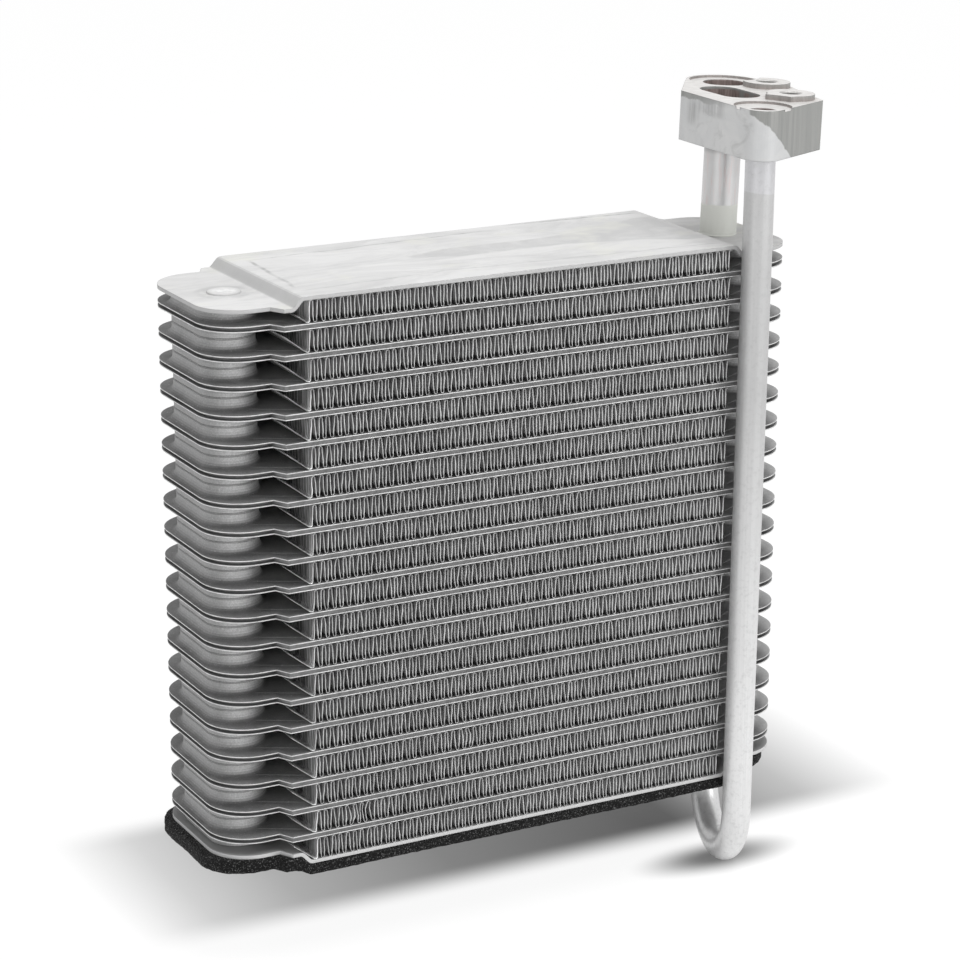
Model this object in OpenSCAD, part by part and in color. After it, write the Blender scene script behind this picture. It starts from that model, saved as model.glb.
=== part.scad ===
// Plate-and-fin evaporator core of a vehicle air conditioner, all sizes in millimetres.
// X runs along the plates, Y through the core with the air, Z up the stack.
// The origin is the middle of the finned block.

/* [Stack] */
// Number of brazed plate pairs, which carry the refrigerant
tube_count = 19; // [3:1:19]
// Distance from one plate pair to the next
tube_pitch = 12; // [11:0.5:15]
// Thickness of a plate pair over its flow channel
channel_thick = 2.9; // [2.6:0.1:3.6]
// Thickness of a plate pair over the two lips of its rim
rim_thick = 2.4; // [2:0.1:2.6]
// Thickness of one lip, which is the sheet
lip_thick = 0.45; // [0.3:0.05:0.7]
// Depth of the open seam between the two lips round the tanks
seam_depth = 2.4; // [0.6:0.1:2.6]
// Depth of the seam along the fins, where braze has filled it
seam_side = 0.5; // [0.3:0.1:2.4]

/* [Plate outline] */
// Overall length of a plate
plate_l = 272.6; // [262:0.2:290]
// Width of a plate over the fins
core_w = 82; // [78:1:96]
// Width of a plate at its two tank ends
tank_w = 70; // [66:1:76]
// Radius of the four outer corners
tank_corner_r = 18; // [8:1:24]
// Distance from a plate's end to each step between the two widths
step_in = 26.3; // [24:0.1:29]
// Length of that step along the plate
step_run = 3.2; // [1:0.2:5]
// Width of the flat rim beside the flow channel
rim_w = 4.5; // [3:0.5:8]

/* [Tank cups] */
// Width of a drawn cup along the plate
cup_w = 24; // [18:1:26]
// Length of a drawn cup across the plate
cup_l = 48; // [34:1:56]
// Width of the flat rim outside a cup
cup_rim = 3.3; // [3:0.1:6]
// Chamfer of the edge where two cups meet
cup_edge = 0.4; // [0.2:0.1:1]
// Width of the flare at the foot of a cup
flare_w = 2.4; // [1:0.1:2.6]
// Height of that flare
flare_h = 2.8; // [1:0.1:3.4]
// Extra height of the two cups that meet the flat end plates
end_cup_extra = 0.4; // [0:0.1:1]

/* [Fins] */
// Distance from a plate's end to the finned strips
fin_in = 37.3; // [36:0.1:50]
// Length of one full wave of the corrugated sheet
fin_wave = 3.3; // [2.8:0.1:5]
// Thickness of the fin sheet
fin_sheet = 0.2; // [0.12:0.02:0.3]
// Flat length of each crest, which is brazed to the plate
fin_crest = 1.3; // [0.8:0.05:1.35]
// Sideways play of the walls, which handling has left a little uneven
fin_play = 0.2; // [0:0.02:0.24]
// How far the open leg at the left end is pulled out past the first crest
leg_run = 9.2; // [4:0.2:9.2]
// Height of the free end of that leg over its crest
leg_rise = 7.2; // [4:0.2:7.4]

/* [End plates] */
// Thickness of the two end plates
end_sheet = 1.6; // [1:0.1:2.5]
// Length of the S-bend between the raised middle and an end flange
bend_run = 5.5; // [4:0.5:8]
// Diameter of the blanked-off port boss on the top plate
blank_d = 14; // [8:0.5:18]
// Height of that boss
blank_h = 0.6; // [0.3:0.1:1.5]
// Place of that boss across the plate, from the middle
blank_y = -3; // [-12:0.5:12]

/* [Pipes] */
// Distance from a plate's end to the axis of its tank port
port_in = 18.9; // [16:0.1:22]
// Outside diameter of the suction pipe
suction_d = 15.9; // [12.7:0.1:17]
// Outside diameter of the liquid pipe
liquid_d = 12.7; // [9.5:0.1:14]
// Wall of both pipes
pipe_wall = 1.4; // [1:0.1:2]
// How much nearer the middle the liquid pipe's front leg stands than its back leg
liquid_shift = 13.7; // [9:0.1:17]
// Clear gap between the liquid pipe and the edges of the plates
liquid_gap = 1.15; // [0.5:0.05:6]
// Straight length of the liquid pipe below the bottom flange
liquid_drop = 18.5; // [10:0.5:40]
// Slight lean of the liquid pipe to one side
leg_lean = 0.55; // [0:0.05:1.5]
// Lean of the suction pipe and of the block on it
lean = 2.2; // [0:0.1:4]
// How far each pipe's end stands back inside the hole of its end plate
pipe_back = 0.5; // [0.4:0.1:1]

/* [Connection block] */
// Height of the underside of the block above the top flange
block_rise = 42.4; // [30:0.2:60]
// Thickness of the block up to its main land
block_h = 21; // [18:0.5:26]
// Height of the two bolt bosses above the main land
boss_h = 2.2; // [1:0.1:4]
// Depth of the seal recesses below the main land
recess_h = 1; // [0.5:0.1:2]
// Depth of the sockets that take the pipe ends
socket_h = 6; // [4:0.5:8]
// Radial gap between a pipe and its socket or hole
braze_gap = 0.05; // [0.02:0.01:0.1]
// Diameter of the liquid port
liquid_port_d = 11.6; // [8:0.1:14]
// Diameter of the round port at the back
round_port_d = 18.6; // [14:0.2:20]
// Width of the suction slot
slot_w = 17.4; // [14:0.2:18]
// Distance between the two end centres of the suction slot
slot_run = 15.5; // [10:0.5:17]
// Depth of the three ports below the recesses
port_depth = 11; // [8:0.5:12]
// Diameter of the two bolt holes
bolt_hole_d = 8.6; // [6:0.1:10.5]
// Diameter of the bosses round the bolt holes
boss_d = 20.6; // [16:0.2:22]
// Width of the chamfer at the top of the bolt holes
hole_chamfer = 0.6; // [0.2:0.1:1]

/* [Foam pad] */
// Thickness of the foam pad under the bottom plate
foam_h = 5; // [3:0.5:10]
// How much thicker the foam is under the tanks
foam_more = 1.3; // [0:0.1:3]
// How far the foam was glued on off centre, away from the pipes
foam_shift = 3.4; // [0:0.2:6]
// How far the foam would stick out past the tanks if it were centred
foam_over = 0.4; // [0:0.2:3]
// How far the foam sticks out past the finned sides
foam_side = 0.5; // [0:0.1:3]
// Gap round the pipe where it goes through the foam
foam_gap = 0.4; // [0.2:0.1:2]

/* [Hidden] */
$fn = 64;
last_fin = tube_count + 1;
fin_l = plate_l - 2 * fin_in;
fin_h = tube_pitch - channel_thick;
half_waves = round(fin_l / fin_wave * 2);
// Part of the open leg for which the stepped top end plate leaves room
short_leg = 0.36;
top_tube_z = (tube_count - 1) / 2 * tube_pitch;
step_x = plate_l / 2 - step_in;
port_x = plate_l / 2 - port_in;
cup_x = plate_l / 2 - cup_rim - cup_w / 2;
cup_end_y = (cup_l - cup_w) / 2;
cup_h = (tube_pitch - rim_thick) / 2;
flare_steps = 4;
// Under the raised middle and under the flanges of the top end plate
middle_z = top_tube_z + channel_thick / 2 + fin_h;
flange_z = top_tube_z + tube_pitch / 2 + end_cup_extra;
// Where the S-bend of the end plates starts, clear of the fins
bend_gap = 0.5;
bend_x = fin_l / 2 + bend_gap;
bend_steps = 10;
corner_step = 9;
hole_over = 1;
port_z = flange_z + end_sheet / 2;
// Liquid pipe, whose two legs are joined by a half turn in a slanted plane
liquid_y = -(core_w / 2 + liquid_gap + liquid_d / 2);
u_run = [-liquid_shift, liquid_y];
u_r = round(norm(u_run) * 500) / 1000;
u_turn = atan2(u_run.y, u_run.x);
// Height on the liquid pipe, and its place in the block's frame, at the height z of the block
function liquid_h(z) = (z + 2 * port_z * cos(lean) + liquid_shift * sin(lean - leg_lean)) / cos(lean - leg_lean);
function liquid_place(z) = [
    2 * port_z * sin(lean) - liquid_shift * cos(lean - leg_lean) - liquid_h(z) * sin(lean - leg_lean), liquid_y
];
// Levels of the block in the fitting's frame
socket_z = block_rise + socket_h;
land_z = block_rise + block_h;
recess_z = land_z - recess_h;
boss_z = land_z + boss_h;
// Plan of the block, from the axis of the suction pipe
slot_back = [-2.4, 1];
slot_front = slot_back + [0, -slot_run];
round_port = [14.2, 23.5];
bolt_back = [23, 3.5];
bolt_front = [14.2, -28.2];
recess_back_r = 15.4;
liquid_port = liquid_place(socket_z);
recess_front = liquid_port + [3.4, 5.4];
recess_front_r = 12.2;
// Narrow land left between a boss and the side of the block
boss_edge = 0.3;
// Flank of the front boss, which is cut back in an arc round the front recess
bolt_flank = [[1.5, -28.2], [3, -38.9], bolt_front - [0, boss_d / 2 - 0.4], bolt_front + [0, boss_d / 2 - 1]];
flank_cut_r = 17.4;
// Rounded corners of the block, anticlockwise: centre and radius
block_corners = [
    [[-19.3, 2], 1.8],
    [liquid_port + [-0.6, -1], 8.2],
    [[23.2, -36.8], 1.5],
    [bolt_back, boss_d / 2 + boss_edge],
    [round_port, 16.8],
];

aluminium = "gainsboro";
tube_grey = "silver";
fin_grey = "lightgrey";
foam_black = [0.1, 0.1, 0.1];

function two_digits(k) = k < 10 ? str("0", k) : str(k);
function tube_name(k) = str("tube_", two_digits(k));
function fin_name(k) = str("fin_", two_digits(k));
function tube_z(k) = top_tube_z - (k - 1) * tube_pitch;
function fin_z(k) = tube_z(k) + tube_pitch / 2;

// Outline of every plate: wide over the fins, narrower and rounded at the two tank ends
module plate_outline(inset = 0, over_end = 0, over_side = 0) {
    half_core = core_w / 2 + over_side - inset;
    half_tank = tank_w / 2 + over_end - inset;
    corner_r = tank_corner_r + over_end - inset;
    corner_x = plate_l / 2 - tank_corner_r;
    corner_y = tank_w / 2 - tank_corner_r;
    for (flip = [0, 1]) mirror([flip, 0]) {
        polygon([
            [0, -half_core], [step_x - step_run / 2, -half_core],
            [step_x + step_run / 2, -half_tank], [corner_x, -half_tank],
            [corner_x, half_tank], [step_x + step_run / 2, half_tank],
            [step_x - step_run / 2, half_core], [0, half_core]
        ]);
        translate([corner_x, -corner_y]) square([corner_r, 2 * corner_y]);
        for (side = [-1, 1]) translate([corner_x, side * corner_y]) circle(r = corner_r);
    }
}

// Outline of the raised flow channel, which narrows to the cups
module channel_outline() {
    half_w = core_w / 2 - rim_w;
    straight = fin_l / 2;
    polygon([
        [-straight, -half_w], [straight, -half_w], [cup_x, -cup_l / 2], [cup_x, cup_l / 2],
        [straight, half_w], [-straight, half_w], [-cup_x, cup_l / 2], [-cup_x, -cup_l / 2]
    ]);
}

// Half of a cup's section: its hollow flare, its wall and the edge at its top
module cup_section(h) {
    wall = cup_w / 2;
    polygon(concat(
        [[0, 0]],
        [for (i = [flare_steps:-1:0])
            let (t = 90 * i / flare_steps)
            [wall + flare_w * (1 - cos(t)), flare_h * (1 - sin(t))]],
        [[wall, h - cup_edge], [wall - cup_edge, h], [0, h]]
    ));
}

// Drawn cup, round at both ends, that stands on the rim
module cup(h) {
    for (turn = [0, 180]) rotate(turn) translate([0, cup_end_y]) rotate_extrude(angle = 180) cup_section(h);
    rotate([90, 0, 0]) linear_extrude(cup_l - cup_w, center = true) {
        cup_section(h);
        mirror([1, 0]) cup_section(h);
    }
}

// Brazed pair of plates: two lips with an open seam, the flow channel and four cups
module tube(k) {
    up = k == 1 ? end_cup_extra : 0;
    down = k == tube_count ? end_cup_extra : 0;
    color(tube_grey) translate([0, 0, tube_z(k)]) {
        for (z = [-rim_thick / 2, rim_thick / 2 - lip_thick]) translate([0, 0, z]) linear_extrude(lip_thick) plate_outline();
        linear_extrude(rim_thick - 2 * lip_thick, center = true)
            plate_outline(seam_depth, over_side = seam_depth - seam_side);
        linear_extrude(channel_thick, center = true) channel_outline();
        for (x = [-cup_x, cup_x]) translate([x, 0]) {
            translate([0, 0, rim_thick / 2]) cup(cup_h + up);
            mirror([0, 0, 1]) translate([0, 0, rim_thick / 2]) cup(cup_h + down);
        }
    }
}

// Middle line of a corrugated sheet, two points for each crest
function fin_line(k) = [
    for (i = [0:half_waves - 1])
    let (x = (2 * i + 1 - half_waves) * fin_wave / 4)
    let (side = i % 2 == 0 ? -1 : 1)
    for (edge = [-1, 1])
    [x + edge * fin_crest / 2 + fin_play * sin(71 * i + 131 * k), side * (fin_h - fin_sheet) / 2]
];
function left_of(a, b) = [a.y - b.y, b.x - a.x] / norm(b - a);
// Point beside a line at the distance d, on the mitre of its two neighbours
function beside(line, i, d) =
    let (last = len(line) - 1)
    let (n1 = left_of(line[max(i - 1, 0)], line[max(i, 1)]))
    let (n2 = left_of(line[min(i, last - 1)], line[min(i + 1, last)]))
    line[i] + d * (n1 + n2) / (1 + n1 * n2);

// Strip cut from a line with the thickness t
module strip(line, t) {
    last = len(line) - 1;
    polygon(concat(
        [for (i = [0:last]) beside(line, i, t / 2)],
        [for (i = [last:-1:0]) beside(line, i, -t / 2)]
    ));
}

// Corrugated fin strip, brazed by its crests between two plates, with an open leg at its left end
module fin(k) {
    crests = fin_line(k);
    line = concat([crests[0] + (k == 1 ? short_leg : 1) * [-leg_run, leg_rise]], crests);
    color(fin_grey) translate([0, 0, fin_z(k)]) rotate([90, 0, 0])
        linear_extrude(core_w, center = true) strip(line, fin_sheet);
}

// Line that steps down from the raised middle to the flange, d over the underside and a little more at its end
function step_line(d, run, more = 0) = concat(
    [[0, middle_z + d]],
    [for (i = [0:bend_steps])
        let (t = i / bend_steps)
        [bend_x + t * run, middle_z + d + (flange_z + more - middle_z) * (1 - cos(180 * t)) / 2]],
    [[plate_l, flange_z + d + more]]
);
// Inner and outer face of the top end plate
function plate_face(side) =
    let (middle = step_line(end_sheet / 2, bend_run))
    [for (i = [0:len(middle) - 1]) beside(middle, i, side * end_sheet / 2)];

// A line on the right half together with its mirror image on the left half
function both_halves(line) = concat([for (i = [len(line) - 1:-1:1]) [-line[i].x, line[i].y]], line);

// Layer between two lines, right across the core
module end_layer(inner, outer) {
    low = both_halves(inner);
    rotate([90, 0, 0]) linear_extrude(2 * core_w, center = true)
        polygon(concat(both_halves(outer), [for (i = [len(low) - 1:-1:0]) low[i]]));
}

// Thick end plate with its port hole
module end_plate(port_d) {
    difference() {
        intersection() {
            end_layer(plate_face(-1), plate_face(1));
            linear_extrude(2 * middle_z) plate_outline();
        }
        translate([port_x, 0, flange_z - hole_over]) cylinder(d = port_d, h = end_sheet + 2 * hole_over);
    }
}

// Top end plate, with the low round boss where the unused port is blanked off
module top_end_plate() {
    edge_r = blank_h;
    color(aluminium) {
        end_plate(suction_d + 2 * braze_gap);
        translate([-port_x, blank_y, flange_z + end_sheet]) rotate_extrude() {
            translate([0, -end_sheet / 2]) square([blank_d / 2 - edge_r, end_sheet / 2 + blank_h]);
            translate([blank_d / 2 - edge_r, 0]) intersection() {
                circle(r = edge_r);
                square(edge_r);
            }
        }
    }
}

// Bottom end plate, a mirror of the top one
module bottom_end_plate() {
    color(aluminium) mirror([0, 0, 1]) end_plate(liquid_d + 2 * braze_gap);
}

// Moves its children into the frame of the leaning block, on the top port
module in_block() {
    translate([port_x, 0, port_z]) rotate([0, lean, 0]) children();
}

// Moves its children into the frame of the liquid pipe, on the bottom port
module in_liquid() {
    translate([port_x, 0, -port_z]) rotate([0, leg_lean, 0]) children();
}

// Suction pipe, from the top flange up into the block
module suction_pipe() {
    foot = pipe_back - end_sheet / 2;
    color(aluminium) in_block() difference() {
        translate([0, 0, foot]) cylinder(d = suction_d, h = socket_z - foot);
        translate([0, 0, foot - hole_over]) cylinder(d = suction_d - 2 * pipe_wall, h = socket_z - foot + 2 * hole_over);
    }
}

// Run of the liquid pipe as a rod: down, round under the core and up its front
module liquid_run(d, over = 0) {
    drop = end_sheet / 2 + liquid_drop;
    translate([0, 0, -drop]) rotate(u_turn) {
        cylinder(d = d, h = drop + end_sheet / 2 - pipe_back + over);
        translate([u_r, 0, 0]) rotate([-90, 0, 0]) rotate_extrude(angle = 180) translate([u_r, 0]) circle(d = d);
        translate([2 * u_r, 0, 0]) cylinder(d = d, h = drop + liquid_h(socket_z) + over);
    }
}

// Liquid pipe, from the bottom flange to the block
module liquid_pipe() {
    color(aluminium) in_liquid() difference() {
        liquid_run(liquid_d);
        liquid_run(liquid_d - 2 * pipe_wall, hole_over);
    }
}

// Direction of the outside of the straight side from corner a to corner b, going anticlockwise
function side_turn(a, b) =
    let (d = b[0] - a[0])
    atan2(d.y, d.x) - 90 + asin((a[1] - b[1]) / norm(d));
// Points round one corner, from the side before it to the side after it
function corner_points(before, c, after) =
    let (start = side_turn(before, c))
    let (sweep = (side_turn(c, after) - start + 720) % 360)
    let (steps = ceil(sweep / corner_step))
    [for (i = [0:steps]) let (t = start + sweep * i / steps) c[0] + c[1] * [cos(t), sin(t)]];

// Outline with straight sides between rounded corners, each a centre and a radius
module rounded_outline(corners) {
    n = len(corners);
    polygon([for (i = [0:n - 1]) for (p = corner_points(corners[(i + n - 1) % n], corners[i], corners[(i + 1) % n])) p]);
}

// Body of the block, with its bosses, recesses, ports and bolt holes, in its own frame
module block_body() {
    bore_z = recess_z - port_depth;
    difference() {
        union() {
            translate([0, 0, block_rise]) linear_extrude(block_h) rounded_outline(block_corners);
            translate([0, 0, land_z]) {
                for (p = [bolt_back, bolt_front]) translate(p) cylinder(d = boss_d, h = boss_h);
                linear_extrude(boss_h) difference() {
                    polygon(bolt_flank);
                    translate(recess_front) circle(r = flank_cut_r);
                }
            }
        }
        translate([round_port.x, round_port.y, recess_z]) cylinder(r = recess_back_r, h = block_h);
        translate([recess_front.x, recess_front.y, recess_z]) cylinder(r = recess_front_r, h = block_h);
        translate([liquid_port.x, liquid_port.y, bore_z]) cylinder(d = liquid_port_d, h = block_h);
        translate([round_port.x, round_port.y, bore_z]) cylinder(d = round_port_d, h = block_h);
        translate([0, 0, bore_z]) linear_extrude(block_h)
            rounded_outline([[slot_front, slot_w / 2], [slot_back, slot_w / 2]]);
        for (p = [bolt_back, bolt_front]) translate(p) {
            translate([0, 0, block_rise - hole_over]) cylinder(d = bolt_hole_d, h = block_h + boss_h + 2 * hole_over);
            translate([0, 0, boss_z - hole_chamfer])
                cylinder(d1 = bolt_hole_d, d2 = bolt_hole_d + 4 * hole_chamfer, h = 2 * hole_chamfer);
        }
    }
}

// Socket that ends at z = 0, and the narrower bore that goes on up from it
module pipe_socket(d) {
    translate([0, 0, -2 * socket_h]) cylinder(d = d + 2 * braze_gap, h = 2 * socket_h);
    cylinder(d = d - 2 * pipe_wall, h = recess_z - port_depth - socket_z + hole_over);
}

// Connection block: ports in two seal recesses, two raised bolt bosses and the pipe sockets
module connection_block() {
    color(aluminium) difference() {
        in_block() block_body();
        in_block() translate([0, 0, socket_z]) pipe_socket(suction_d);
        in_liquid() rotate(u_turn) translate([2 * u_r, 0, liquid_h(socket_z)]) pipe_socket(liquid_d);
    }
}

// Soft pad glued under the bottom end plate, with a hole for the liquid pipe
module foam_pad() {
    color(foam_black) mirror([0, 0, 1]) difference() {
        intersection() {
            end_layer(plate_face(1), step_line(end_sheet + foam_h, bend_run + foam_h / 2, foam_more));
            translate([-foam_shift, 0]) linear_extrude(2 * middle_z) plate_outline(over_end = foam_over, over_side = foam_side);
        }
        translate([port_x, 0, flange_z]) cylinder(d = liquid_d + 2 * foam_gap, h = 2 * (foam_h + foam_more) + end_sheet);
    }
}

for (k = [1:tube_count]) tube(k);
for (k = [1:last_fin]) fin(k);
top_end_plate();
bottom_end_plate();
suction_pipe();
liquid_pipe();
connection_block();
foam_pad();
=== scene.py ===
"""Looks of the evaporator core.

Metals and foam, braze at the joints, fins with rounded crests, a rough skin for the foam pad,
then the floor, the lamps and the camera of the photo.
"""
import math

import bmesh
import bpy
import numpy as np
from mathutils import Matrix, Vector, noise

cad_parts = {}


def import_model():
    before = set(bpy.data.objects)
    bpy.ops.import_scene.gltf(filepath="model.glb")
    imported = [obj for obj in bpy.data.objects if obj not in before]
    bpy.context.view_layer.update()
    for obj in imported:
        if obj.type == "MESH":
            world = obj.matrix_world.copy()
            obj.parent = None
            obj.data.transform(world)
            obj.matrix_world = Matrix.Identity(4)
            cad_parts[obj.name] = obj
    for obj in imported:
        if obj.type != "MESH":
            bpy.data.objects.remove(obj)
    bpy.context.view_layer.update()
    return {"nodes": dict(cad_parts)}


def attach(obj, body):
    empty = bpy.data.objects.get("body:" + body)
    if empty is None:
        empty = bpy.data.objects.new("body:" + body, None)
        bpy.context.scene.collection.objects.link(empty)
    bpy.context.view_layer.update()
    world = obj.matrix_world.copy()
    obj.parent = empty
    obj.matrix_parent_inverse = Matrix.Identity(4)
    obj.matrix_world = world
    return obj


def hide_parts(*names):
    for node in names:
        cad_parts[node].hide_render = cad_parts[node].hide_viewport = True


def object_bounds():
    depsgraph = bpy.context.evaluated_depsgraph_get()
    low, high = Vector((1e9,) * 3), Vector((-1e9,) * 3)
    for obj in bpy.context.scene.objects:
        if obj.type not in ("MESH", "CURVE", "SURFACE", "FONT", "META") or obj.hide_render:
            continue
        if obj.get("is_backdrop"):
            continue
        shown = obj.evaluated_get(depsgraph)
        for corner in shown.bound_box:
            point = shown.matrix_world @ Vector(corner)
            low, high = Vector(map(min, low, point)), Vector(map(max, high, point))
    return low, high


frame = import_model()
nodes = frame["nodes"]
MM = 0.001

# Sizes in mm and degrees, as in the part's source
PITCH, TUBES, CORE_W = 12.0, 19, 82.0
FIN_WAVE, CREST, SHEET, FIN_H, WALLS, PLAY = 3.3, 1.3, 0.2, 9.1, 120, 0.2
LEG_RUN, LEG_RISE = 9.2, 7.2
SHORT_LEG = 0.36  # share of that leg which the top strip has
CUP_X, CUP_R, CUP_END = 121.0, 12.0, 12.0  # place along the plate, end radius, end centre
PORT_X, FLANGE_Z, BLOCK_RISE = 117.4, 115.2, 42.4
SUCTION_R, LIQUID_R = 7.95, 6.35
LIQUID_SHIFT, LIQUID_Y = 13.7, -48.5
LEAN, LEG_LEAN = 2.2, 0.55

# Ports and slot of the block, where shade is painted in: centre, radius and top in metres, each with a
# little to spare
PORTS = [
    (0.1067, -0.0485, 0.0062, 0.1779),
    (0.1338, 0.0235, 0.0097, 0.1768),
    (0.1172, 0.001, 0.0091, 0.1774),
    (0.1172, -0.0068, 0.0091, 0.1774),
    (0.1172, -0.0145, 0.0091, 0.1774),
]

# Creases of the top plate in mm on the plan, painted darker as shade and bumped: two ends, half width
# and strength
CREASES = [
    ((-92, 28), (18, 34), 0.5, 1.0),
    ((-93, 26), (-96, -24), 0.8, 1.0),
    ((-94, -31), (-28, -26), 0.6, 0.6),
    ((-28, -26), (96, -33), 0.6, 0.6),
    ((35, 40), (96, 36), 0.9, 1.0),
]

# Dents of the fin faces in mm: strip, place along it, half width, push along it, height, half height
DENTS = [
    (19, -81.0, 3.4, 1.3, -0.6, 2.4),
    (19, -75.0, 3.0, -1.2, 0.6, 2.4),
    (17, -27.0, 2.6, 1.1, 0.0, 2.6),
    (3, 40.0, 3.0, 0.5, 1.0, 3.0),
    (11, -30.0, 3.0, -0.5, -1.0, 3.0),
    (8, 65.0, 3.0, -0.5, 0.0, 3.0),
]

# Slow waves of the fin faces: size in mm, turns along the strip and up it in radians per mm
FIN_BENDS = ((0.16, 0.33, 0.4), (0.12, 0.9, 0.6), (0.10, 2.1, 0.8))
# Sections near a fin's face: depth behind it in mm, share of the bend, share of the sheet's thickness
FIN_FACE = ((0.0, 1.0, 0.65), (0.8, 0.8, 1.0), (4.0, 0.0, 1.0))
# Waves of the foam's skin: size in mm and spread of their turns in radians per mm
FOAM_WAVES = ((0.07, 0.2), (0.04, 0.7), (0.03, 2.3))


class Graph:
    """Short calls for building one material's nodes."""

    def __init__(self, name):
        self.mat = bpy.data.materials.new(name)
        self.mat.use_nodes = True
        self.tree = self.mat.node_tree
        self.tree.nodes.clear()
        self.out = self.add("ShaderNodeOutputMaterial")
        self.coord = self.add("ShaderNodeTexCoord").outputs["Object"]

    def add(self, kind, **props):
        node = self.tree.nodes.new(kind)
        for key, value in props.items():
            setattr(node, key, value)
        return node

    def feed(self, sock, value):
        """Links another socket to this one, or sets it to a number or a colour."""
        if isinstance(value, bpy.types.NodeSocket):
            self.tree.links.new(value, sock)
        elif sock.type == "RGBA":
            rgb = value if isinstance(value, tuple) else (value, value, value)
            sock.default_value = (*rgb, 1)
        else:
            sock.default_value = value

    def split(self, vector):
        node = self.add("ShaderNodeSeparateXYZ")
        self.feed(node.inputs[0], vector)
        return tuple(node.outputs)

    def axes(self):
        """The object's coordinates in metres."""
        return self.split(self.coord)

    def facing(self):
        """The surface's normal, without bumps."""
        return self.split(self.add("ShaderNodeNewGeometry").outputs["True Normal"])

    def math(self, op, a, b=0.0, clamp=False):
        node = self.add("ShaderNodeMath", operation=op, use_clamp=clamp)
        self.feed(node.inputs[0], a)
        self.feed(node.inputs[1], b)
        return node.outputs[0]

    def plus(self, a, b, clamp=False):
        return self.math("ADD", a, b, clamp)

    def minus(self, a, b, clamp=False):
        return self.math("SUBTRACT", a, b, clamp)

    def times(self, a, b):
        return self.math("MULTIPLY", a, b)

    def noise(self, scale, detail=4.0, rough=0.55, stretch=(1, 1, 1), distort=0.0, move=(0, 0, 0)):
        place = self.add("ShaderNodeMapping")
        place.inputs["Scale"].default_value = stretch
        place.inputs["Location"].default_value = move
        self.feed(place.inputs["Vector"], self.coord)
        node = self.add("ShaderNodeTexNoise")
        node.inputs["Scale"].default_value = scale
        node.inputs["Detail"].default_value = detail
        node.inputs["Roughness"].default_value = rough
        node.inputs["Distortion"].default_value = distort
        self.feed(node.inputs["Vector"], place.outputs["Vector"])
        return node.outputs["Fac"]

    def ramp(self, fac, stops):
        """Turns a number into tones or colours, by stops of (place, tone)."""
        node = self.add("ShaderNodeValToRGB")
        elements = node.color_ramp.elements
        while len(elements) < len(stops):
            elements.new(0.5)
        for element, (place, tone) in zip(elements, stops):
            rgb = tone if isinstance(tone, tuple) else (tone, tone, tone)
            element.position = place
            element.color = (*rgb, 1)
        self.feed(node.inputs["Fac"], fac)
        return node.outputs["Color"]

    def patches(self, stops, scale, detail=4.0, rough=0.55, **more):
        """Noise turned into tones by a ramp."""
        return self.ramp(self.noise(scale, detail, rough, **more), stops)

    def mix(self, fac, a, b, kind="MIX"):
        node = self.add("ShaderNodeMix", data_type="RGBA", blend_type=kind)
        for index, value in ((0, fac), (6, a), (7, b)):
            self.feed(node.inputs[index], value)
        return node.outputs[2]

    def smooth(self, value, start, end):
        """0 at the start and 1 at the end, with a smooth step between them."""
        node = self.add("ShaderNodeMapRange", interpolation_type="SMOOTHSTEP")
        self.feed(node.inputs[0], value)
        node.inputs[1].default_value, node.inputs[2].default_value = start, end
        return node.outputs[0]

    def above(self, value, low, soft):
        return self.smooth(value, low - soft, low + soft)

    def below(self, value, high, soft):
        return self.smooth(value, high + soft, high - soft)

    def band(self, value, low, high, soft):
        """1 between low and high, with soft edges."""
        return self.times(self.above(value, low, soft), self.below(value, high, soft))

    def distance(self, x, y, centre, radii=(1, 1)):
        """Distance on the plan from a point, as a share of the radii."""
        squares = []
        for value, middle, radius in zip((x, y), centre, radii):
            side = self.math("DIVIDE", self.minus(value, middle), radius)
            squares.append(self.times(side, side))
        return self.math("SQRT", self.plus(*squares))

    def bump(self, height, strength, depth, after=None):
        node = self.add("ShaderNodeBump")
        node.inputs["Strength"].default_value = strength
        node.inputs["Distance"].default_value = depth
        self.feed(node.inputs["Height"], height)
        if after is not None:
            self.feed(node.inputs["Normal"], after)
        return node.outputs["Normal"]

    def bevel(self, radius):
        node = self.add("ShaderNodeBevel", samples=4)
        node.inputs["Radius"].default_value = radius
        return node.outputs["Normal"]

    def surface(self, color, rough, metal, normal=None, spec=0.5):
        node = self.add("ShaderNodeBsdfPrincipled")
        self.feed(node.inputs["Base Color"], color)
        self.feed(node.inputs["Roughness"], rough)
        self.feed(node.inputs["Metallic"], metal)
        self.feed(node.inputs["Specular IOR Level"], spec)
        if normal is not None:
            self.feed(node.inputs["Normal"], normal)
        self.feed(self.out.inputs["Surface"], node.outputs[0])
        return self.mat


def level(g, z):
    """Height in metres over the middle of the nearest plate pair."""
    pitch = PITCH * MM
    turns = g.math("DIVIDE", g.plus(z, 20.5 * pitch), pitch)
    return g.times(g.minus(g.math("FRACT", turns), 0.5), pitch)


def upright(g):
    """1 on faces that stand upright, 0 on level ones."""
    return g.minus(1.0, g.math("ABSOLUTE", g.facing()[2]), clamp=True)


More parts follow.
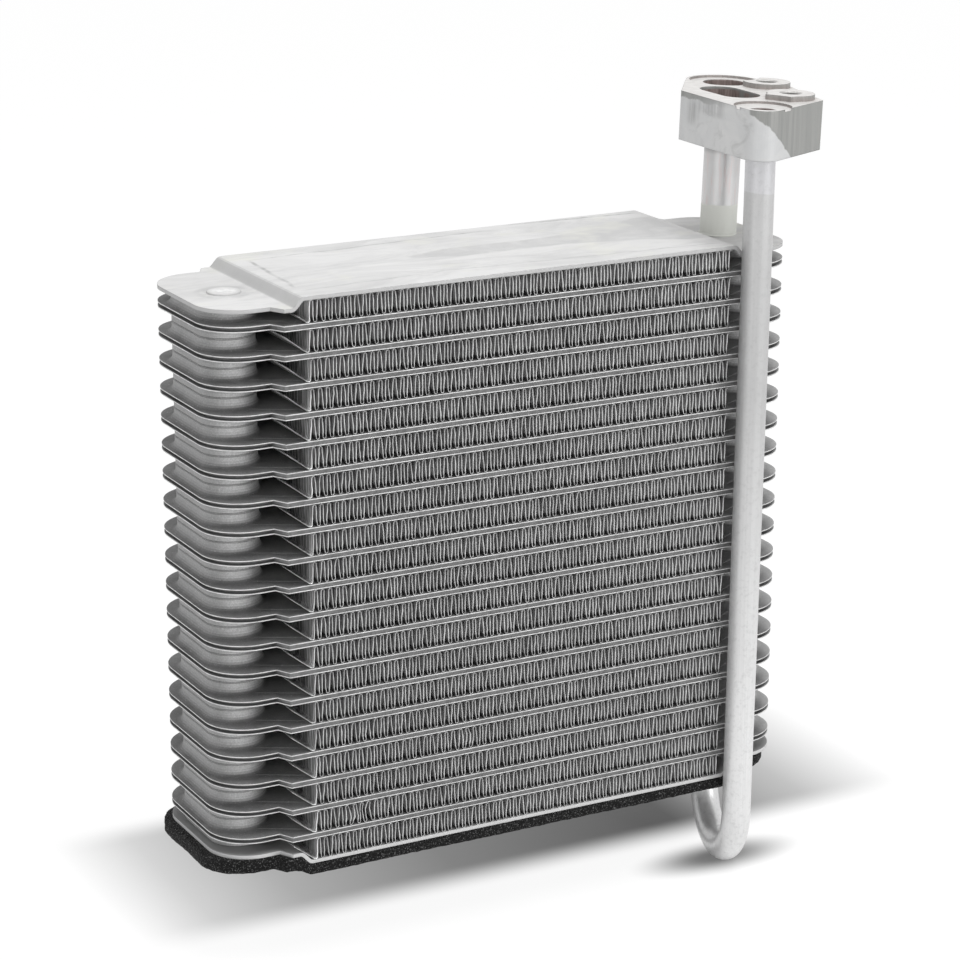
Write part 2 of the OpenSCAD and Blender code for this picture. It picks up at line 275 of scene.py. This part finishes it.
def plate_metal():
    """Clad sheet of the tubes: dull and grainy, with bright trimmed lips and a dark seam; level faces
    in painted shade and upright walls in painted light, with more painted light at the right end and
    painted shade on the walls at the left end.
    """
    right_cups, right_rim, left_end = 0.09, 0.1285, -0.128
    foot, seam_top, lip_low, lip_high, hair = 0.002, 0.00074, 0.00078, 0.00121, 0.00003
    g = Graph("brazed_plate")
    x, _, z = g.axes()
    wall, up = upright(g), g.math("ABSOLUTE", level(g, z))
    broad, fine = g.noise(55, 4, 0.65), g.noise(1500, 4, 0.8)
    # Level faces: painted shade, far darker than the upright walls of the same sheet
    flat = g.ramp(broad, [(0.3, 0.14), (0.7, 0.26)])
    # Level faces at the right rim, out in the open: painted light
    flat = g.mix(g.times(g.above(x, right_rim, 0.004), 0.85), flat, 0.44)
    # Upright walls: painted light, far lighter than the level faces of the same sheet
    side = g.ramp(broad, [(0.3, 0.64), (0.7, 0.80)])
    # Cup walls at the right end, seen down the narrow gaps between plates: painted light
    side = g.mix(g.above(x, right_cups, 0.005), side, 0.9)
    # Cup walls at the left end: painted shade
    side = g.mix(g.times(g.below(x, left_end, 0.004), 0.8), side, 0.30)
    col = g.mix(g.times(wall, g.above(up, foot, 0.0006)), flat, side)
    grain = g.ramp(fine, [(0.38, 0.0), (0.5, 0.5), (0.62, 1.0)])
    dark, light = g.mix(1.0, col, 0.86, "MULTIPLY"), g.mix(1.0, col, 1.14, "MULTIPLY")
    col = g.mix(grain, dark, light)
    col = g.mix(g.patches([(0.70, 0.0), (0.78, 0.4)], 1500, 1, 0.5), col, 0.75)
    edge = g.above(wall, 0.8, 0.1)
    seam = g.times(g.below(up, seam_top, hair), edge)
    braze = g.mix(g.patches([(0.35, 0.0), (0.65, 1.0)], 400, 3, 0.6), 0.16, 0.26)
    col = g.mix(g.times(seam, 0.8), col, braze)
    lip = g.times(g.band(up, lip_low, lip_high, hair), edge)
    lip = g.times(lip, g.patches([(0.3, 0.6), (0.6, 1.0)], 260, 3, 0.6))
    col = g.mix(lip, col, 0.86)
    rough = g.mix(lip, g.patches([(0.3, 0.5), (0.7, 0.65)], 60, 3), 0.5)
    metal = g.mix(lip, 0.22, 0.15)
    return g.surface(col, rough, metal, g.bump(fine, 0.12, 0.0002, g.bevel(0.0005)))


def fin_metal():
    """Fin sheet: louvres as upright bands behind the face, their slits in painted shade, a band of
    painted shade over each plate, and painted light on the first wall beside the open leg.
    """
    louvre, first_louvre, louvre_half, legs = 0.0015, 0.0006, 0.0034, -0.0968
    g = Graph("fin_sheet")
    x, y, z = g.axes()
    up = level(g, z)
    deep = g.minus(CORE_W / 2 * MM, g.math("ABSOLUTE", y))
    slats = g.math("FRACT", g.math("DIVIDE", g.plus(deep, first_louvre), louvre))
    from_middle = g.math("ABSOLUTE", g.minus(g.math("ABSOLUTE", up), PITCH / 2 * MM))
    inner = g.below(from_middle, louvre_half, 0.0003)
    walls = g.noise(650, 2, 0.6, stretch=(1, 0.5, 0.08))
    col = g.patches([(0.3, 0.39), (0.7, 0.62)], 90, 4, 0.65)
    col = g.mix(g.ramp(walls, [(0.45, 0.0), (0.62, 0.6)]), col, 0.8)
    leg = g.below(x, legs, 0.0006)
    # painted shade: a dark band over each plate, the shadow of its lip; none on the leg
    shade = g.times(g.band(up, 0.0, 0.003, 0.0006), g.minus(1.0, leg))
    col = g.mix(g.times(shade, 0.85), col, 0.03)
    # painted light: the first wall beside the open leg is made lighter, with streaks
    col = g.mix(leg, col, g.ramp(walls, [(0.4, 0.5), (0.6, 1.0)]))
    # painted shade: the louvre slits are dark, as the shade in their openings; the bump gives their
    # relief
    slit = g.times(g.band(slats, 0.0, 0.36, 0.07), inner)
    col = g.mix(g.times(slit, 0.85), col, 0.05)
    return g.surface(col, 0.45, 0.5, g.bump(g.times(slats, inner), 0.8, 0.0004))


def fin_edge_metal():
    """Sheared fin edges: bright, with painted shade at the upper bends under each plate, and darker on
    the open leg.
    """
    legs = -0.0995
    g = Graph("fin_edge")
    x, _, z = g.axes()
    col = g.patches([(0.32, 0.42), (0.58, 1.0)], 420, 3, 0.7, stretch=(1, 1, 0.3))
    # painted shade at the upper bends, under the plate above
    col = g.mix(g.times(g.band(level(g, z), -0.0036, 0.0, 0.0007), 0.8), col, 0.16)
    col = g.mix(g.times(g.below(x, legs, 0.0006), 0.7), col, 0.20)
    return g.surface(col, 0.5, 0.1)


def crease(g, x, y, start, end, width):
    """Soft line on the plan between two points in mm: 1 on it, 0 past its width."""
    (ax, ay), (bx, by) = start, end
    size = math.dist(start, end)
    dx, dy = (bx - ax) / size, (by - ay) / size
    u, v = g.minus(x, ax * MM), g.minus(y, ay * MM)
    along = g.plus(g.times(u, dx), g.times(v, dy))
    across = g.minus(g.times(v, dx), g.times(u, dy))
    wave = g.times(g.minus(g.noise(90, 2, 0.5), 0.5), 0.003)
    half = width * MM
    line = g.band(g.plus(across, wave), -half, half, half * 0.8)
    return g.times(line, g.band(along, 0.0, size * MM, 0.004))


def end_plate_metal():
    """Clad end plates: near white flux with a bare wedge, creases in painted shade, a boss with a
    painted highlight in a ring of painted shade, and painted shade on steep faces; grey below, as
    painted shade.
    """
    wedge_start, wedge_end, wedge_l, wedge_half, wedge_y = -0.031, 0.098, 0.12, 0.024, 0.0025
    boss, boss_r = (-PORT_X * MM, -0.003), 0.007
    g = Graph("end_plate_metal")
    x, y, z = g.axes()
    steepness = upright(g)
    broad = g.noise(16, 4, 0.6, distort=0.6)
    col = g.ramp(broad, [(0.3, (0.692, 0.69, 0.688)), (0.7, (0.8016, 0.80, 0.7984))])

    along = g.math("DIVIDE", g.plus(x, 0.03), wedge_l)
    widths = [(0.0, 0.08), (0.15, 0.32), (0.55, 0.31), (0.85, 0.6), (1.0, 1.0)]
    half = g.times(g.ramp(along, widths), wedge_half)
    inside = g.minus(half, g.math("ABSOLUTE", g.minus(y, wedge_y)))
    wedge = g.times(g.band(x, wedge_start, wedge_end, 0.002), g.above(inside, 0.0, 0.0012))
    broken = g.patches([(0.36, 0.35), (0.6, 1.0)], 60, 4, 0.65, distort=0.8)
    wedge = g.times(wedge, broken)
    col = g.mix(g.times(wedge, 0.8), col, 0.50)
    clouds = [(0.42, 0.0), (0.66, 0.55)]
    col = g.mix(g.patches(clouds, 60, 5, 0.7, stretch=(0.35, 1, 1), distort=0.7), col, 0.52)

    lines = 0.0
    for start, end, width, strength in CREASES:
        line = g.times(crease(g, x, y, start, end, width), strength)
        lines = g.plus(lines, line, clamp=True)
    lines = g.times(lines, g.patches([(0.35, 0.2), (0.65, 1.0)], 160, 3, 0.6))
    # painted shade along the creases
    col = g.mix(g.times(lines, 0.75), col, 0.36)
    col = g.mix(g.patches([(0.64, 0.0), (0.74, 0.35)], 150, 3, 0.5), col, 0.62)
    tint = g.patches([(0.55, 0.0), (0.72, 0.5)], 34, 3, 0.6, move=(0.2, 0, 0))
    col = g.mix(tint, col, (0.80, 0.80, 0.72))

    around = g.distance(x, y, boss, (boss_r, boss_r))
    # painted shade in a ring round the boss
    boss_ring_shade = g.band(around, 0.95, 1.6, 0.25)
    col = g.mix(g.times(boss_ring_shade, g.patches([(0.4, 0.0), (0.6, 0.7)], 110, 3, 0.6)), col, 0.50)
    # painted highlight on the boss, patchy
    boss_highlight = g.below(around, 0.75, 0.2)
    col = g.mix(g.times(boss_highlight, g.patches([(0.4, 0.2), (0.6, 1.0)], 260, 3, 0.6)), col, 0.90)
    # painted shade on steep faces, darker than the level top
    col = g.mix(g.times(g.above(steepness, 0.12, 0.1), 0.75), col, 0.46)

    # painted shade below: the bottom plate is grey under the core, its level faces darker than its
    # upright ones
    under = g.ramp(broad, [(0.3, 0.25), (0.7, 0.35)])
    under = g.mix(g.above(steepness, 0.8, 0.1), under, 0.62)
    col = g.mix(g.below(z, 0.0, 0.001), col, under)
    rough = g.mix(wedge, 0.62, 0.42)
    creased = g.bump(lines, 0.6, 0.0003, g.bevel(0.0006))
    return g.surface(col, rough, 0.1, g.bump(g.noise(520, 4, 0.65), 0.25, 0.0002, creased))


def pipe_graph(name):
    """Graph of a drawn pipe, with its draw lines, broad tones and nicks."""
    g = Graph(name)
    lines = g.noise(180, 3, 0.6, stretch=(5, 5, 0.06))
    nicks = g.patches([(0.70, 0.0), (0.76, 0.3)], 240, 3, 0.7, stretch=(1, 1, 0.35))
    return g, lines, g.noise(30, 3, 0.5), nicks


def liquid_metal():
    """Drawn pipe, matt: a cool zone at its top, then grey with pits, and paler towards its foot."""
    pale_below, pale_run, tip_line, tip_slope = -0.08, 0.14, 0.1566, 0.12
    g, lines, broad, nicks = pipe_graph("liquid_pipe_metal")
    x, _, z = g.axes()
    high = g.math("DIVIDE", g.minus(z, pale_below), pale_run, clamp=True)
    col = g.mix(high, 0.80, 0.52)
    col = g.mix(g.ramp(broad, [(0.35, 0.0), (0.7, 0.25)]), col, 0.66)
    col = g.mix(g.ramp(lines, [(0.45, 0.0), (0.8, 0.22)]), col, 0.42)
    tip = g.above(g.plus(z, g.times(x, tip_slope)), tip_line, 0.0003)
    col = g.mix(tip, col, (0.60, 0.60, 0.615))
    col = g.mix(g.patches([(0.5, 0.0), (0.7, 0.28)], 520, 4, 0.7), col, 0.38)
    col = g.mix(nicks, col, 0.36)
    rough = g.ramp(lines, [(0.3, 0.34), (0.7, 0.46)])
    drawn = g.bump(lines, 0.12, 0.0001)
    return g.surface(col, rough, 0.5, g.bump(g.noise(420, 3, 0.6), 0.12, 0.0002, drawn))


def suction_metal():
    """Short pipe: satin, with a matt band of heat and flux at its foot and a dark ring at its top."""
    band_top, ring_low = 0.1305, 0.1535
    g, lines, broad, nicks = pipe_graph("suction_pipe_metal")
    col = g.ramp(broad, [(0.3, 0.56), (0.7, 0.70)])
    streaks = g.patches([(0.5, 0.0), (0.7, 0.7)], 300, 4, 0.7, stretch=(3, 3, 0.25))
    col = g.mix(streaks, col, (0.62, 0.50, 0.49))
    z = g.plus(g.axes()[2], g.times(g.noise(80, 2, 0.5), 0.002))
    low = g.below(z, band_top, 0.0004)
    col = g.mix(low, col, (0.74, 0.75, 0.705))
    col = g.mix(g.above(z, ring_low, 0.0012), col, 0.40)
    col = g.mix(nicks, col, 0.40)
    rough, metal = g.mix(low, 0.34, 0.65), g.mix(low, 0.65, 0.1)
    return g.surface(col, rough, metal, g.bump(lines, 0.15, 0.0001))


def block_metal():
    """Block: pale smooth front, sawn darker right and back, turned top, and openings in painted shade
    of a warm tone.
    """
    saw_line, saw_slope, saw_left, face_right = 0.2688, 0.93, 0.0984, 0.0992
    g = Graph("milled_block")
    x, y, z = g.axes()
    up = g.facing()[2]
    streak = g.noise(170, 4, 0.7, stretch=(3, 3, 0.1))
    pale = [(0.3, (0.58, 0.585, 0.59)), (0.7, (0.68, 0.68, 0.675))]
    col = g.patches(pale, 45, 4, 0.6, distort=0.8)

    wave = g.times(g.minus(g.noise(150, 3, 0.6), 0.5), 0.004)
    slant = g.plus(g.plus(z, wave), g.times(x, saw_slope))
    sawn = g.times(g.above(slant, saw_line, 0.0004), g.above(x, saw_left, 0.0002))
    sawn_tones = [(0.35, (0.27, 0.275, 0.265)), (0.65, (0.34, 0.34, 0.33))]
    col = g.mix(sawn, col, g.ramp(streak, sawn_tones))

    face = g.below(x, face_right, 0.0004)
    patch = g.times(g.band(y, -0.0115, -0.0045, 0.003), g.band(z, 0.1675, 0.1762, 0.003))
    rim = g.times(g.band(y, -0.032, -0.012, 0.003), g.above(z, 0.1725, 0.0015))
    dark = g.times(g.plus(patch, g.times(rim, 0.7), clamp=True), face)
    dark = g.times(dark, g.ramp(streak, [(0.35, 0.1), (0.6, 1.0)]))
    col = g.mix(g.times(dark, 0.75), col, 0.32)
    smear = g.patches([(0.52, 0.0), (0.68, 0.45)], 70, 4, 0.65, stretch=(1, 1, 1.6), distort=1.2)
    col = g.mix(g.times(smear, face), col, 0.40)

    turned = [(0.3, (0.60, 0.58, 0.57)), (0.7, (0.82, 0.81, 0.79))]
    col = g.mix(g.above(up, 0.7, 0.1), col, g.patches(turned, 300, 3, 0.6, stretch=(0.6, 3, 1)))
    # painted shade: the recesses darken by occlusion and the port bores by their places, in a warm tone
    inside = g.add("ShaderNodeAmbientOcclusion", samples=6, only_local=True)
    inside.inputs["Distance"].default_value = 0.008
    hole = g.ramp(inside.outputs["AO"], [(0.4, 0.8), (0.75, 0.0)])
    for cx, cy, radius, top in PORTS:
        within = g.below(g.distance(x, y, (cx, cy)), radius, 0.0003)
        hole = g.math("MAXIMUM", hole, g.times(within, g.below(z, top, 0.0003)))
    hole_shade = [(0.3, (0.16, 0.115, 0.105)), (0.7, (0.40, 0.32, 0.30))]
    hole_shade = g.patches(hole_shade, 700, 3, 0.6, stretch=(1, 1, 0.15))
    col = g.mix(g.times(hole, 0.9), col, hole_shade)
    col = g.mix(g.patches([(0.68, 0.0), (0.75, 0.6)], 420, 3, 0.7), col, 0.24)
    return g.surface(col, 0.48, 0.25, g.bump(g.noise(500, 3, 0.7), 0.15, 0.0002, g.bevel(0.0009)))


def foam_black():
    """Open-cell foam: black, with grains that catch the light."""
    g = Graph("foam_black")
    cells = g.add("ShaderNodeTexVoronoi", feature="F1")
    cells.inputs["Scale"].default_value = 900
    g.feed(cells.inputs["Vector"], g.coord)
    grain = g.noise(700, 4, 0.7)
    col = g.ramp(grain, [(0.3, 0.003), (0.75, 0.012)])
    col = g.mix(g.patches([(0.57, 0.0), (0.66, 1.0)], 1700, 2, 0.6), col, 0.15)
    normal = g.bump(cells.outputs["Distance"], 1.0, 0.001, g.bump(grain, 0.8, 0.0008))
    return g.surface(col, 0.8, 0.0, normal, spec=0.2)


PLATE, FIN, FIN_EDGE, END = plate_metal(), fin_metal(), fin_edge_metal(), end_plate_metal()
LIQUID, SUCTION, BLOCK, FOAM = liquid_metal(), suction_metal(), block_metal(), foam_black()


def dress():
    """Gives the solids that stay as they are their material."""
    mats = {"top_end_plate": END, "bottom_end_plate": END, "liquid_pipe": LIQUID}
    mats.update(suction_pipe=SUCTION, connection_block=BLOCK)
    for name, obj in nodes.items():
        mat = PLATE if name.startswith("tube_") else mats.get(name)
        if mat:
            obj.data.materials.clear()
            obj.data.materials.append(mat)


def new_object(name, data):
    obj = bpy.data.objects.new(name, data)
    bpy.context.scene.collection.objects.link(obj)
    return obj


def piece(name, verts, faces, mat):
    """A closed smooth piece from its points in metres and its faces."""
    mesh = bpy.data.meshes.new(name)
    mesh.from_pydata(verts, [], faces)
    mesh.update()
    bm = bmesh.new()
    bm.from_mesh(mesh)
    bmesh.ops.recalc_face_normals(bm, faces=bm.faces)
    bm.to_mesh(mesh)
    bm.free()
    mesh.materials.append(mat)
    for face in mesh.polygons:
        face.use_smooth = True
    obj = new_object(name, mesh)
    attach(obj, "root")


def fillet(radius, size, sign):
    """Section of a braze fillet: it hugs the pipe and spreads on the face below or above it."""
    arc = 6
    points = [(radius, 0.0), (radius, sign * size)]
    for k in range(1, arc):
        a = math.pi / 2 * k / arc
        points.append((radius + size * (1 - math.cos(a)), sign * size * (1 - math.sin(a))))
    return points + [(radius + size, 0.0)]


def ring(name, radius, size, place, sign, mat):
    """Braze round a pipe, square to the block and spread unevenly; place is a point in mm."""
    steps, uneven = 64, 0.6
    section, turn = fillet(radius, size, sign), Matrix.Rotation(math.radians(LEAN), 3, "Y")
    verts, faces, n = [], [], len(section)
    for i in range(steps):
        a, j = 2 * math.pi * i / steps, (i + 1) % steps
        spread = uneven * noise.noise(Vector((3 * math.cos(a), 3 * math.sin(a), place[0])))
        for k, (r, height) in enumerate(section):
            r += (r - radius) * spread
            point = Vector((r * math.cos(a), r * math.sin(a), height))
            verts.append((place + turn @ point) * MM)
            after = (k + 1) % n
            faces.append((i * n + k, j * n + k, j * n + after, i * n + after))
    piece(name, verts, faces, mat)


def fillets():
    """Braze at the foot and the top of the suction pipe and at the top of the liquid pipe."""
    lean, leg = (Matrix.Rotation(math.radians(a), 3, "Y") for a in (LEAN, LEG_LEAN))
    port, away = Vector((PORT_X, 0, FLANGE_Z)), math.radians(LEAN - LEG_LEAN)
    ring("braze_suction_foot", SUCTION_R, 0.9, port + lean @ Vector((0, 0, 0.8)), 1, SUCTION)
    ring("braze_suction_top", SUCTION_R, 0.6, port + lean @ Vector((0, 0, BLOCK_RISE)), -1, BLOCK)
    rise = BLOCK_RISE + 2 * FLANGE_Z * math.cos(math.radians(LEAN)) + LIQUID_SHIFT * math.sin(away)
    top = leg @ Vector((-LIQUID_SHIFT, LIQUID_Y, rise / math.cos(away)))
    ring("braze_liquid_top", LIQUID_R, 0.6, Vector((PORT_X, 0, -FLANGE_Z)) + top, -1, BLOCK)


def cup_joints():
    """Braze that fills the groove between neighbouring cups, flush with their walls."""
    steps = 24
    section = ((-0.3, 0.0), (-0.02, -0.36), (0.03, 0.0), (-0.02, 0.36))
    n, around = len(section), 2 * (steps + 1)
    for side, name in ((-1, "braze_cups_left"), (1, "braze_cups_right")):
        verts, faces = [], []
        for row in range(TUBES - 1):
            first, z = len(verts), (TUBES / 2 - 1 - row) * PITCH
            for turn in (1, -1):
                for i in range(steps + 1):
                    a = math.pi * i / steps
                    x, y = turn * math.cos(a), turn * math.sin(a)
                    for off, h in section:
                        r = CUP_R + off
                        point = (side * CUP_X + r * x, r * y + turn * CUP_END, z + h)
                        verts.append(tuple(value * MM for value in point))
            for i in range(around):
                here, there = first + n * i, first + n * ((i + 1) % around)
                for k in range(n):
                    after = (k + 1) % n
                    faces.append((here + k, there + k, there + after, here + after))
        piece(name, verts, faces, PLATE)


def wall_x(i, k):
    """Place in mm along strip k of its crest i, a little uneven."""
    return (2 * i + 1 - WALLS) * FIN_WAVE / 4 + PLAY * math.sin(math.radians(71 * i + 131 * k))


def fin_path(k):
    """Middle line of one strip, with its crests rounded."""
    r, top = CREST / 2, (FIN_H - SHEET) / 2
    points = []
    for i in range(WALLS):
        x, side = wall_x(i, k), (-1 if i % 2 == 0 else 1)
        arc = (0, 45, 90, 135, 180)
        if i == 0:
            share, arc = (SHORT_LEG if k == 1 else 1.0), arc[2:]
            for t in (1.0, 0.5, 0.04):
                points.append((x - r - LEG_RUN * share * t, -top + LEG_RISE * share * t))
        for a in map(math.radians, arc):
            points.append((x - r * math.cos(a), side * (top - r + r * math.sin(a))))
        if i < WALLS - 1:
            (x0, z0), x1, z1 = points[-1], wall_x(i + 1, k) - r, -side * (top - r)
            for t in (1 / 3, 2 / 3):
                points.append((x0 + (x1 - x0) * t, z0 + (z1 - z0) * t))
    return np.array(points)


def bend(seed, x, z):
    """How far in mm handling has pushed a strip's face along it; a front face's seed is its strip."""
    rng = np.random.default_rng(500 + seed)
    out = np.zeros_like(x)
    for size, fx, fz in FIN_BENDS:
        a, b, p, q = rng.uniform(0, 6.28, 4)
        sideways = fx * x + a + 1.5 * np.sin(0.21 * x + p)
        out += size * np.sin(sideways) * np.cos(fz * z + b + np.sin(0.5 * x + q))
    for strip, cx, half, push, cz, high in DENTS:
        if strip == seed:
            out += push * np.exp(-(((x - cx) / half) ** 2 + ((z - cz) / high) ** 2))
    return out * (1 - np.abs(z / (FIN_H / 2)) ** 3)


def fin_mesh(k):
    """Points and faces of strip k, and how many of the faces are its smooth sides."""
    path, back_seed = fin_path(k), 30
    n, z = len(path), (10.5 - k) * PITCH
    d = np.gradient(path, axis=0)
    d /= np.linalg.norm(d, axis=1)[:, None]
    normal = np.stack([-d[:, 1], d[:, 0]], 1)
    sections = [(depth - CORE_W / 2, share, thick) for depth, share, thick in FIN_FACE]
    sections += [(-y, share, thick) for y, share, thick in sections[::-1]]
    rows = []
    for y, share, thick in sections:
        for side in (0.5, -0.5):
            p = path + side * SHEET * thick * normal
            p[:, 1] = np.clip(p[:, 1], -FIN_H / 2, FIN_H / 2)
            shift = share * bend(k + (back_seed if y > 0 else 0), p[:, 0], p[:, 1])
            rows.append(np.stack([p[:, 0] + shift, np.full(n, y), p[:, 1] + z], 1))
    i, quads, caps, last = np.arange(n - 1), [], [], len(sections) - 1
    for s in range(last):
        for side in (0, 1):
            a, b = (2 * s + side) * n, (2 * s + 2 + side) * n
            q = np.stack([a + i, a + i + 1, b + i + 1, b + i], 1)
            quads.append(q[:, ::-1] if side else q)
        for j, flip in ((0, False), (n - 1, True)):
            q = np.array([[2 * s, 2 * s + 2, 2 * s + 3, 2 * s + 1]]) * n + j
            quads.append(q[:, ::-1] if flip else q)
    for s, flip in ((0, True), (last, False)):
        a = 2 * s * n
        q = np.stack([a + i, a + i + 1, a + n + i + 1, a + n + i], 1)
        caps.append(q[:, ::-1] if flip else q)
    quads, caps = np.concatenate(quads), np.concatenate(caps)
    return np.concatenate(rows) * MM, np.concatenate([quads, caps]), len(quads)


def fins():
    """Fin strips with rounded crests, uneven faces and bright sheared edges."""
    for k in range(1, TUBES + 2):
        verts, faces, sides = fin_mesh(k)
        name = f"fin_{k:02d}"
        mesh = bpy.data.meshes.new(name + "_sheet")
        mesh.vertices.add(len(verts))
        mesh.vertices.foreach_set("co", verts.ravel())
        mesh.loops.add(faces.size)
        mesh.loops.foreach_set("vertex_index", faces.ravel())
        mesh.polygons.add(len(faces))
        mesh.polygons.foreach_set("loop_start", np.arange(len(faces)) * 4)
        smooth = np.arange(len(faces)) < sides
        mesh.polygons.foreach_set("use_smooth", smooth)
        mesh.polygons.foreach_set("material_index", (~smooth).astype(np.int32))
        mesh.update(calc_edges=True)
        mesh.materials.append(FIN)
        mesh.materials.append(FIN_EDGE)
        obj = new_object(name + "_sheet", mesh)
        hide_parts(name)
        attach(obj, "root")


def foam():
    """The pad with a rough cut skin, on the same form; its glued top stays flat."""
    voxel, grit, inward, outward = 0.0012, 0.05, -0.8, 0.5
    obj = new_object("foam_strip", nodes["foam_pad"].data.copy())
    mod = obj.modifiers.new("remesh", "REMESH")
    mod.mode, mod.voxel_size, mod.adaptivity = "VOXEL", voxel, 0.0
    graph = bpy.context.evaluated_depsgraph_get()
    mesh = bpy.data.meshes.new_from_object(obj.evaluated_get(graph))
    obj.modifiers.clear()
    obj.data = mesh
    n = len(mesh.vertices)
    co, normals = np.empty(n * 3, np.float32), np.empty(n * 3, np.float32)
    mesh.vertices.foreach_get("co", co)
    mesh.vertex_normals.foreach_get("vector", normals)
    co, normals = co.reshape(-1, 3).astype(float), normals.reshape(-1, 3).astype(float)
    rng = np.random.default_rng(7)
    push = np.zeros(n)
    for size, spread in FOAM_WAVES:
        for _ in range(3):
            turns, start = rng.normal(0, spread, 3), rng.uniform(0, 6.28)
            push += size * np.sin(co * 1000 @ turns + start)
    push = (push + rng.normal(0, grit, n)) * (1 - np.clip(normals[:, 2], 0, 1))
    co += normals * np.clip(push, inward, outward)[:, None] * MM
    mesh.vertices.foreach_set("co", co.astype(np.float32).ravel())
    mesh.polygons.foreach_set("use_smooth", np.ones(len(mesh.polygons), bool))
    mesh.update()
    mesh.materials.clear()
    mesh.materials.append(FOAM)
    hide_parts("foam_pad")
    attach(obj, "root")


def seen_rays(tree):
    """1 for rays that show a thing: straight, mirrored or through glass."""
    path = tree.nodes.new("ShaderNodeLightPath")
    total = path.outputs["Is Camera Ray"]
    for name in ("Is Glossy Ray", "Is Transmission Ray"):
        add = tree.nodes.new("ShaderNodeMath")
        add.operation, add.use_clamp = "ADD", True
        tree.links.new(total, add.inputs[0])
        tree.links.new(path.outputs[name], add.inputs[1])
        total = add.outputs[0]
    return total


def world():
    """White to look at, and a softer white as light."""
    studio = bpy.data.worlds.new("studio")
    bpy.context.scene.world = studio
    studio.use_nodes = True
    tree = studio.node_tree
    tree.nodes.clear()
    out = tree.nodes.new("ShaderNodeOutputWorld")
    mix = tree.nodes.new("ShaderNodeMixShader")
    tree.links.new(seen_rays(tree), mix.inputs[0])
    for index, strength in ((1, 0.55), (2, 1.0)):
        light = tree.nodes.new("ShaderNodeBackground")
        light.inputs[0].default_value = (1, 1, 1, 1)
        light.inputs[1].default_value = strength
        tree.links.new(light.outputs[0], mix.inputs[index])
    tree.links.new(mix.outputs[0], out.inputs[0])


def floor():
    """White floor that takes the lamps' shadow faintly, with the soft shadow of the studio drawn in."""
    start, length, front, back = -0.155, 0.395, 0.007, 0.125
    bend_place, bend_radii, bend_depth = (0.109, -0.026), (0.046, 0.019), 0.85
    half, low = 6.0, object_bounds()[0].z
    corners = [(-half, -half, low), (half, -half, low), (half, half, low), (-half, half, low)]
    mesh = bpy.data.meshes.new("floor")
    mesh.from_pydata(corners, [], [(0, 1, 2, 3)])
    obj = new_object("floor", mesh)
    g = Graph("floor_white")
    x, y, _ = g.axes()
    tones = [(0.0, 1.0), (0.09, 0.64), (0.2, 0.40), (0.39, 0.20)]
    tones += [(0.68, 0.06), (0.86, 0.45), (1.0, 1.0)]
    tone = g.ramp(g.math("DIVIDE", g.minus(x, start), length), tones)
    core = g.times(g.minus(1.0, tone), g.band(y, front, back, 0.013))
    spot = g.times(g.below(g.distance(x, y, bend_place, bend_radii), 0.6, 0.45), bend_depth)
    left = g.times(g.minus(1.0, core), g.minus(1.0, spot))
    glow = g.add("ShaderNodeEmission")
    g.feed(glow.inputs[0], 1.0)
    g.feed(glow.inputs[1], g.times(left, 0.9))
    faint, lit = g.add("ShaderNodeBsdfDiffuse"), g.add("ShaderNodeBsdfDiffuse")
    g.feed(faint.inputs[0], 0.16)
    g.feed(lit.inputs[0], 0.9)
    both, mix = g.add("ShaderNodeAddShader"), g.add("ShaderNodeMixShader")
    g.feed(both.inputs[0], glow.outputs[0])
    g.feed(both.inputs[1], faint.outputs[0])
    g.feed(mix.inputs[0], seen_rays(g.tree))
    g.feed(mix.inputs[1], lit.outputs[0])
    g.feed(mix.inputs[2], both.outputs[0])
    g.feed(g.out.inputs["Surface"], mix.outputs[0])
    mesh.materials.append(g.mat)
    obj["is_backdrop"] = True


def lamp(name, place, size, power):
    """Square lamp that looks at the origin."""
    data = bpy.data.lights.new(name, "AREA")
    data.energy, data.size = power, size
    obj = new_object(name, data)
    obj.location = place
    obj.rotation_mode = "QUATERNION"
    obj.rotation_quaternion = (-Vector(place)).to_track_quat("-Z", "Y")


def camera():
    """Camera fitted to the photo: angles in degrees, place of the origin in its axes in mm."""
    yaw, pitch, roll = (math.radians(a) for a in (-28.242, 16.835, 0.125))
    right_mm, down_mm, ahead_mm = -0.4, 19.5, 1297.6
    focal_px, image_px, sensor_mm = 3030.5, 960, 36
    flat = math.cos(pitch)
    ahead = Vector((-math.sin(yaw) * flat, math.cos(yaw) * flat, -math.sin(pitch)))
    level_right = Vector((math.cos(yaw), math.sin(yaw), 0))
    level_up = level_right.cross(ahead)
    right = math.cos(roll) * level_right + math.sin(roll) * level_up
    up = -math.sin(roll) * level_right + math.cos(roll) * level_up
    cam = new_object("camera", bpy.data.cameras.new("camera"))
    cam.location = -(right * right_mm - up * down_mm + ahead * ahead_mm) * MM
    cam.rotation_mode = "QUATERNION"
    cam.rotation_quaternion = Matrix((right, up, -ahead)).transposed().to_quaternion()
    cam.data.sensor_width = sensor_mm
    cam.data.lens = sensor_mm * focal_px / image_px
    cam.data.clip_end = 50
    bpy.context.scene.camera = cam


dress()
fillets()
cup_joints()
fins()
foam()
world()
floor()
lamp("key", (0.1, -0.6, 1.7), 0.9, 15)
lamp("right", (1.0, -1.5, 0.5), 0.8, 7)
lamp("left", (-1.5, -0.9, 0.4), 0.8, 2.5)
camera()
bpy.context.scene.view_settings.view_transform = "Standard"
